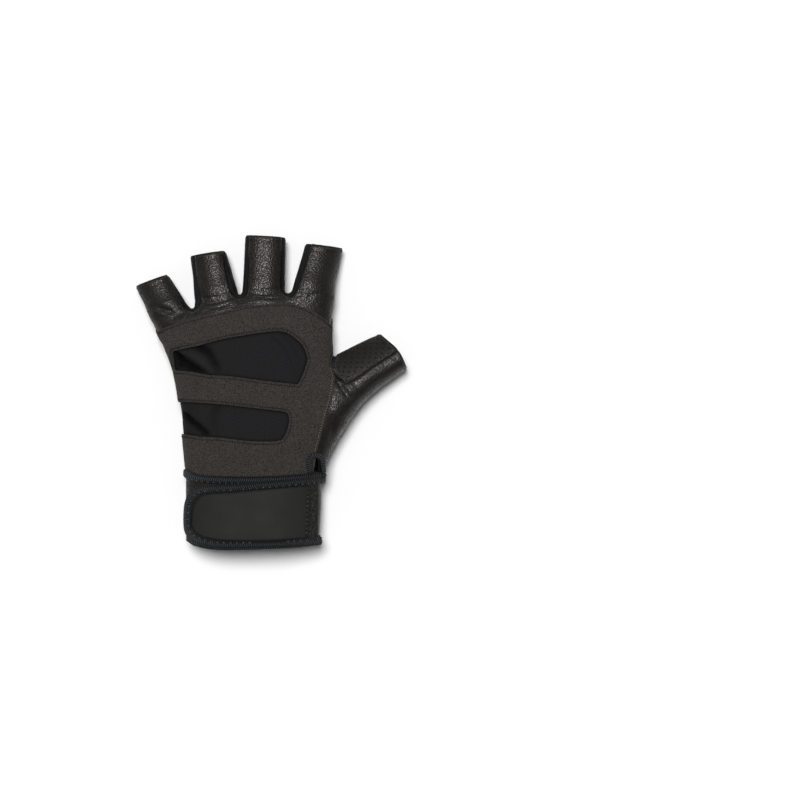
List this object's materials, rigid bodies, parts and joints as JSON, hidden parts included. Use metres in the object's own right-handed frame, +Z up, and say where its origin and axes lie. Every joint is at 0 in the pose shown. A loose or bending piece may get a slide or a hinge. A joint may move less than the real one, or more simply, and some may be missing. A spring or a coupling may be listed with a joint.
{
  "type": "fingerless fitness glove",
  "caption": "Fingerless fitness glove for the left hand: suede overlay with stretch windows on the back, padded palm, perforated palm leather and a closed wrist strap.",
  "frame": {"origin": "centre of the bounding box at the level of the surface it rests on, palm down", "axes": "+X towards the thumb, +Y from the cuff to the finger ends, +Z up out of the back of the hand"},
  "size_m": [0.1586, 0.1834, 0.0344],
  "materials": {
    "smooth_leather": "pebbled, semi-gloss",
    "cuff_leather": "fine grain, satin",
    "perforated_leather": "fine round holes in staggered rows, satin",
    "suede": "napped, matte",
    "stretch_fabric": "fine slanting ribs, matte",
    "gusset_fabric": "smooth stretch cloth, matte",
    "ribbed_tape": "ribbed edge tape, matte",
    "strap_fabric": "rough looped cloth, matte",
    "strap_plate": "smooth, matte"
  },
  "bodies": {
    "root": {"finger_back_leather": "smooth_leather", "back_stretch_panel": "stretch_fabric", "back_overlay": "suede", "thumb_back_leather": "smooth_leather", "thumb_palm_leather": "perforated_leather", "palm_leather": "perforated_leather", "fourchette_little_ring": "gusset_fabric", "fourchette_ring_middle": "gusset_fabric", "fourchette_middle_index": "gusset_fabric", "palm_pad": "suede", "pull_tab_ring": "suede", "pull_tab_middle": "suede", "cuff_band": "cuff_leather", "wrist_binding": "ribbed_tape", "hem_binding": "ribbed_tape", "vent_binding": "ribbed_tape", "wrist_strap": "strap_fabric", "strap_binding": "ribbed_tape", "strap_plate": "strap_plate"}
  },
  "joints": []
}
